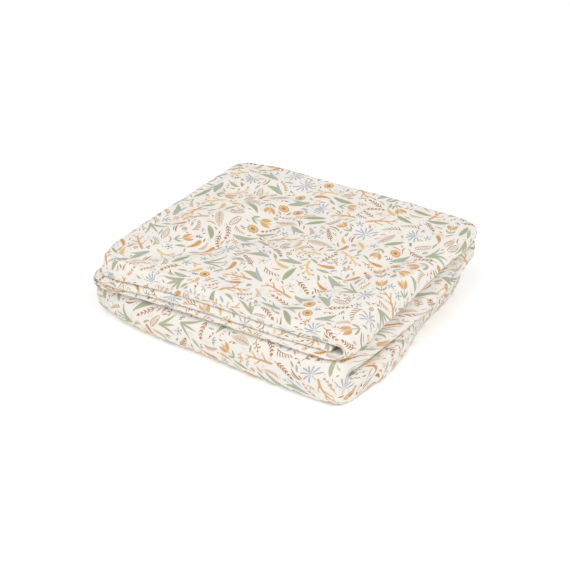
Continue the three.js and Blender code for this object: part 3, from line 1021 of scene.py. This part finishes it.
# What is printed, the largest first: how many on 100 x 100 mm, and what makes one
PRINT = [
    (1.4, lambda: twig("ochre", "sand", RNG.uniform(28, 34))),
    (1.3, lambda: twig("sand", "ochre", RNG.uniform(24, 30))),
    (1.2, lambda: veined_leaf("blush", "taupe", RNG.uniform(24, 29))),
    (1.2, lambda: reeds("sage", RNG.uniform(24, 30))),
    (2.0, lambda: twin_leaf("sage", "blue", RNG.uniform(23, 28))),
    (1.7, lambda: flecked_leaf("sage", "moss", RNG.uniform(22, 27))),
    (1.6, lambda: fan("blue", RNG.uniform(19, 23))),
    (1.6, lambda: tulip("ochre", "sand", "sage", RNG.uniform(21, 26))),
    (1.9, lambda: pod("ochre", "rust", "sage", RNG.uniform(16, 20))),
    (1.8, lambda: pod("sand", "ochre", "sage", RNG.uniform(15, 19))),
    (3.9, lambda: sprig("rust", RNG.uniform(19, 25))),
    (3.4, lambda: plume("rust", RNG.uniform(15, 19))),
    (2.2, lambda: open_leaf("rust", RNG.uniform(15, 19))),
    (1.6, lambda: round_flower("ochre", "sand", "rust", RNG.uniform(10, 12))),
    (2.6, lambda: sprig("clay", RNG.uniform(15, 20), leaf=4.0, thick=1.1, spacing=2.8)),
    (2.2, lambda: broad_leaf("sage", "pale_sage", RNG.uniform(13, 18))),
    (1.6, lambda: plume("clay", RNG.uniform(12, 15))),
    (3.2, lambda: arcs("rust", RNG.uniform(13, 18), "taupe")),
    (2.6, lambda: berries("rust", "clay", RNG.uniform(11, 15))),
    (1.8, lambda: petals("blue", "slate", RNG.uniform(8, 10))),
    (1.4, lambda: petals("blush", "rust", RNG.uniform(9, 11))),
    (3.2, lambda: paired_buds("rust", RNG.uniform(7, 10))),
    (3.0, lambda: arcs("clay", RNG.uniform(9, 13))),
    (2.0, lambda: berries("clay", "ochre", RNG.uniform(9, 12))),
    (1.8, lambda: ring("clay", "sage", RNG.uniform(4.5, 6))),
    (6.0, lambda: sprout("slate", RNG.uniform(7, 10))),
    (3.0, lambda: small_leaf("blue", RNG.uniform(7, 11))),
    (4.0, lambda: small_leaf("sage", RNG.uniform(6, 10))),
    (5.0, lambda: small_leaf("clay", RNG.uniform(5, 9))),
    (5.0, lambda: sprout("clay", RNG.uniform(6, 8))),
    (7.0, lambda: dots("sage")),
    (8.0, lambda: small_leaf("rust", RNG.uniform(4, 6))),
    (9.0, lambda: dots("clay", 2)),
    (7.0, lambda: dots("taupe", 1)),
    (6.0, lambda: small_leaf("taupe", RNG.uniform(3, 5))),
]

# Pitch of the places tried, the area that the counts are for, the raster and margin that keep
# motifs apart, and how much higher each shape of a motif lies than the one before
PLACE_PITCH = 4.0
COUNT_AREA = 10000
RASTER = 0.5
MARGIN = 1.0
TRIES = 26
TURN_SPREAD = 0.9
OVERLAP_STEP = 0.04


def flow(s, t):
    """Direction in which the motifs drift over the open cloth."""
    return 0.5 + 0.9 * math.sin(s / 61 + 1.1) + 0.8 * math.sin(t / 53 + s / 97)


def stamp_offsets(radius):
    """Raster steps that fill a disc."""
    reach = math.ceil(radius / RASTER)
    steps = np.arange(-reach, reach + 1)
    i, j = np.meshgrid(steps, steps, indexing="ij")
    inside = np.hypot(i, j) * RASTER <= radius
    return i[inside], j[inside]


def footprint(shapes):
    """Points all over a motif, close enough that stamping each one leaves no hole."""
    points = []
    for _, _, grid in shapes:
        points.append(grid.reshape(-1, 2))
        centres = (grid[:-1, :-1] + grid[1:, :-1] + grid[:-1, 1:] + grid[1:, 1:]) / 4
        points.append(centres.reshape(-1, 2))
    return np.concatenate(points)


def find_room(points, open_places, taken):
    """A free place and turn for a motif, with the raster cells of its points, or None."""
    for _ in range(TRIES):
        origin = open_places[RNG.integers(len(open_places))] + RNG.uniform(-2, 2, 2)
        angle = flow(*origin) + RNG.normal(0, TURN_SPREAD) + math.pi * RNG.integers(2)
        at = turned(points, angle, origin)
        i = np.clip((at[:, 0] / RASTER).astype(int), 0, taken.shape[0] - 1)
        j = np.clip((at[:, 1] / RASTER).astype(int), 0, taken.shape[1] - 1)
        if not taken[i, j].any():
            return origin, angle, i, j
    return None


def lay_out(side):
    """Places motifs over the part of a face that shows, the largest first and none overlapping."""
    width = OPEN_S[side].max()
    length = OPEN_T[side].max()
    taken = np.zeros((int(width / RASTER) + 2, int(length / RASTER) + 2), bool)
    s, t = np.meshgrid(np.arange(0, width, PLACE_PITCH), np.arange(0, length, PLACE_PITCH), indexing="ij")
    u, v = fold_place(s.ravel(), t.ravel(), side)
    open_places = np.stack([s.ravel(), t.ravel()], -1)[shows(u, v, side)]
    area = len(open_places) * PLACE_PITCH**2
    stamp_i, stamp_j = stamp_offsets(MARGIN)
    placed = []
    for density, make in PRINT:
        for _ in range(round(density * area / COUNT_AREA)):
            shapes = make()
            points = footprint(shapes)
            middle = (points.min(axis=0) + points.max(axis=0)) / 2
            room = find_room(points - middle, open_places, taken)
            if room is None:
                continue
            origin, angle, i, j = room
            near_i = np.clip(i[:, None] + stamp_i, 0, taken.shape[0] - 1)
            near_j = np.clip(j[:, None] + stamp_j, 0, taken.shape[1] - 1)
            taken[near_i, near_j] = True
            for k, (ink, level, grid) in enumerate(shapes):
                placed.append((ink, level + OVERLAP_STEP * k, turned(grid - middle, angle, origin)))
    return placed


# The print's pieces: thin skins just over the cloth, one for each ink

INK_LIFT = 0.1
LEVEL_LIFT = 0.06
EDGE_CLEAR = 0.4
LEAST_FACE = 0.01


def lay_skin(chosen, side):
    """Points, normals, open places and map of one ink's shapes on one face of the cloth."""
    flat = np.concatenate([grid.reshape(-1, 2) for _, grid in chosen])
    flat[:, 0] = np.clip(flat[:, 0], EDGE_CLEAR, OPEN_S[side].max() - EDGE_CLEAR)
    flat[:, 1] = np.clip(flat[:, 1], EDGE_CLEAR, OPEN_T[side].max() - EDGE_CLEAR)
    lift = [np.full(grid.size // 2, INK_LIFT + LEVEL_LIFT * level) for level, grid in chosen]
    u, v = fold_place(flat[:, 0], flat[:, 1], side)
    normal = cloth_normal(u, v, side)
    points = cloth_point(u, v, side) + normal * np.concatenate(lift)[:, None]
    return points, normal, flat, map_place(flat[:, 0], flat[:, 1], side)


def make_print(ink, layouts):
    """The mesh of one ink's shapes on both faces, without the faces that come to a point."""
    skins = []
    quads = []
    count = 0
    for side, layout in layouts.items():
        chosen = [(level, grid) for name, level, grid in layout if name == ink]
        if not chosen:
            continue
        skins.append(lay_skin(chosen, side))
        for _, grid in chosen:
            faces = grid_quads(*grid.shape[:2], count)
            quads.append(faces if side > 0 else faces[:, ::-1])
            count += grid.size // 2
    points, normals, places, packed = [np.concatenate(rows) for rows in zip(*skins)]
    quads = np.concatenate(quads)
    one_way = points[quads[:, 2]] - points[quads[:, 0]]
    other_way = points[quads[:, 3]] - points[quads[:, 1]]
    quads = quads[np.linalg.norm(np.cross(one_way, other_way), axis=1) > LEAST_FACE]
    piece = add_skin("print_" + ink, points, quads, places, packed)
    piece.data.normals_split_custom_set_from_vertices(normals.tolist())
    return piece


# Materials

# Colours of the cloth and of the inks, and their mottling: how strong it is and how fine
GROUND = (0.84, 0.798, 0.738)
INKS = {
    "sage": (0.425, 0.438, 0.302),
    "moss": (0.3, 0.315, 0.21),
    "pale_sage": (0.57, 0.59, 0.46),
    "rust": (0.44, 0.21, 0.075),
    "clay": (0.6, 0.35, 0.175),
    "ochre": (0.66, 0.395, 0.2),
    "sand": (0.77, 0.565, 0.29),
    "blue": (0.43, 0.462, 0.505),
    "slate": (0.17, 0.2, 0.22),
    "blush": (0.74, 0.605, 0.515),
    "taupe": (0.4, 0.335, 0.29),
}
GROUND_MOTTLE = (0.025, 160)
INK_MOTTLE = (0.14, 900)


class Nodes:
    """Short calls for a material's nodes."""

    def __init__(self, material):
        material.use_nodes = True
        self.tree = material.node_tree
        self.shader = self.tree.nodes["Principled BSDF"]

    def add(self, kind, **values):
        node = self.tree.nodes.new(kind)
        for name, value in values.items():
            setattr(node, name, value)
        return node

    def link(self, source, target):
        self.tree.links.new(source, target)

    def math(self, operation, a, b=0.0):
        node = self.add("ShaderNodeMath", operation=operation)
        for socket, value in zip(node.inputs, (a, b)):
            if isinstance(value, (int, float)):
                socket.default_value = value
            else:
                self.link(value, socket)
        return node.outputs[0]

    def noise(self, vector, scale, detail):
        node = self.add("ShaderNodeTexNoise")
        node.inputs["Scale"].default_value = scale
        node.inputs["Detail"].default_value = detail
        self.link(vector, node.inputs["Vector"])
        return node.outputs["Fac"]


# The knit: width and height of a stitch in metres, the share of its rows, the fuzz over it and
# the bump that they make
WALE = 0.0011
COURSE = 0.0009
COURSE_SHARE = 0.35
FUZZ_SCALE = 420
FUZZ_SHARE = 0.9
BUMP_STRENGTH = 0.35
BUMP_HEIGHT = 0.00012

# The cloth's surface
LIGHTEST = 0.95
SURFACE = {"Roughness": 0.92, "Specular IOR Level": 0.2, "Sheen Weight": 0.15, "Sheen Roughness": 0.5}


def jersey(name, colour, mottle, mottle_scale):
    """Jersey knit: the ink or ground colour with mottling, knit ribs and a soft bloom."""
    material = bpy.data.materials.new(name)
    nodes = Nodes(material)
    place = nodes.add("ShaderNodeUVMap", uv_map="Cloth").outputs["UV"]
    shade = nodes.noise(place, mottle_scale, 3.0)
    mix = nodes.add("ShaderNodeMix", data_type="RGBA")
    mix.inputs["A"].default_value = (*[c * (1 - mottle) for c in colour], 1)
    mix.inputs["B"].default_value = (*[min(c * (1 + mottle), LIGHTEST) for c in colour], 1)
    nodes.link(shade, mix.inputs["Factor"])
    nodes.link(mix.outputs["Result"], nodes.shader.inputs["Base Color"])
    split = nodes.add("ShaderNodeSeparateXYZ")
    nodes.link(place, split.inputs[0])
    wale = nodes.math("SINE", nodes.math("MULTIPLY", split.outputs[0], 2 * math.pi / WALE))
    course = nodes.math("SINE", nodes.math("MULTIPLY", split.outputs[1], 2 * math.pi / COURSE))
    rows = nodes.math("MULTIPLY", course, COURSE_SHARE)
    knit = nodes.math("MULTIPLY", nodes.math("ADD", nodes.math("ABSOLUTE", wale), rows), 0.5)
    fuzz = nodes.noise(place, FUZZ_SCALE, 4.0)
    height = nodes.math("ADD", knit, nodes.math("MULTIPLY", fuzz, FUZZ_SHARE))
    bump = nodes.add("ShaderNodeBump")
    bump.inputs["Strength"].default_value = BUMP_STRENGTH
    bump.inputs["Distance"].default_value = BUMP_HEIGHT
    nodes.link(height, bump.inputs["Height"])
    nodes.link(bump.outputs["Normal"], nodes.shader.inputs["Normal"])
    for name_of_input, value in SURFACE.items():
        nodes.shader.inputs[name_of_input].default_value = value
    return material


# The floor, the light and the camera

FLOOR_SIZE = 12.0
FLOOR_WHITE = (0.96, 0.96, 0.96, 1)
FLOOR_GLOW = 0.15
SKY = 0.72
WHITE = (1, 1, 1, 1)

# Lamps: name, azimuth, elevation, distance and size in metres, and power in watts
LAMPS = [("front", 0, 58, 2.4, 1.6, 14), ("right", 70, 52, 2.4, 1.2, 10.8)]

# The camera round its target, its lens and its sensor in millimetres
AZIMUTH = 32.0
ELEVATION = 31.5
DISTANCE = 1.7
LENS = 107.37
SENSOR = 36
TARGET = (0.0132, -0.02173, 0.036)


def direction(azimuth, elevation):
    """From the object towards a place round it, azimuth 0 being the front."""
    a = math.radians(azimuth)
    e = math.radians(elevation)
    return Vector((math.sin(a) * math.cos(e), -math.cos(a) * math.cos(e), math.sin(e)))


def make_floor():
    """A pale floor that the object lies on."""
    half = FLOOR_SIZE / 2
    mesh = bpy.data.meshes.new("floor")
    corners = [(-half, -half, 0), (half, -half, 0), (half, half, 0), (-half, half, 0)]
    mesh.from_pydata(corners, [], [(0, 1, 2, 3)])
    material = bpy.data.materials.new("floor")
    material.use_nodes = True
    shader = material.node_tree.nodes["Principled BSDF"]
    shader.inputs["Base Color"].default_value = FLOOR_WHITE
    shader.inputs["Emission Color"].default_value = WHITE
    shader.inputs["Emission Strength"].default_value = FLOOR_GLOW
    shader.inputs["Roughness"].default_value = 0.95
    shader.inputs["Specular IOR Level"].default_value = 0.1
    mesh.materials.append(material)
    add_object("floor", mesh)


def aim(item, azimuth, elevation, distance, target=(0, 0, 0)):
    """Puts a lamp or camera round a target and turns it to face that."""
    towards = direction(azimuth, elevation)
    item.location = Vector(target) + towards * distance
    item.rotation_euler = towards.to_track_quat("Z", "Y").to_euler()


def make_light():
    """An even white sky and the lamps."""
    world = bpy.data.worlds.new("studio")
    bpy.context.scene.world = world
    world.use_nodes = True
    background = world.node_tree.nodes["Background"]
    background.inputs["Color"].default_value = WHITE
    background.inputs["Strength"].default_value = SKY
    for name, azimuth, elevation, distance, size, power in LAMPS:
        lamp = bpy.data.lights.new(name, "AREA")
        lamp.shape = "DISK"
        lamp.size = size
        lamp.energy = power
        aim(add_object(name, lamp), azimuth, elevation, distance)


def make_camera():
    """The camera of the photograph."""
    data = bpy.data.cameras.new("camera")
    data.lens = LENS
    data.sensor_width = SENSOR
    camera = add_object("camera", data)
    aim(camera, AZIMUTH, ELEVATION, DISTANCE, TARGET)
    bpy.context.scene.camera = camera


bpy.context.scene.view_settings.view_transform = "Standard"
make_floor()
make_light()
make_camera()

blanket = make_cloth()
blanket.data.materials.append(jersey("ivory_jersey", GROUND, *GROUND_MOTTLE))
motifs = {side: lay_out(side) for side in SIDES}
prints = [make_print(ink, motifs) for ink in INKS]
for ink, piece in zip(INKS, prints):
    piece.data.materials.append(jersey("ink_" + ink, INKS[ink], *INK_MOTTLE))

for piece in [blanket, *prints]:
    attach(piece, "root")
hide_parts("blanket")
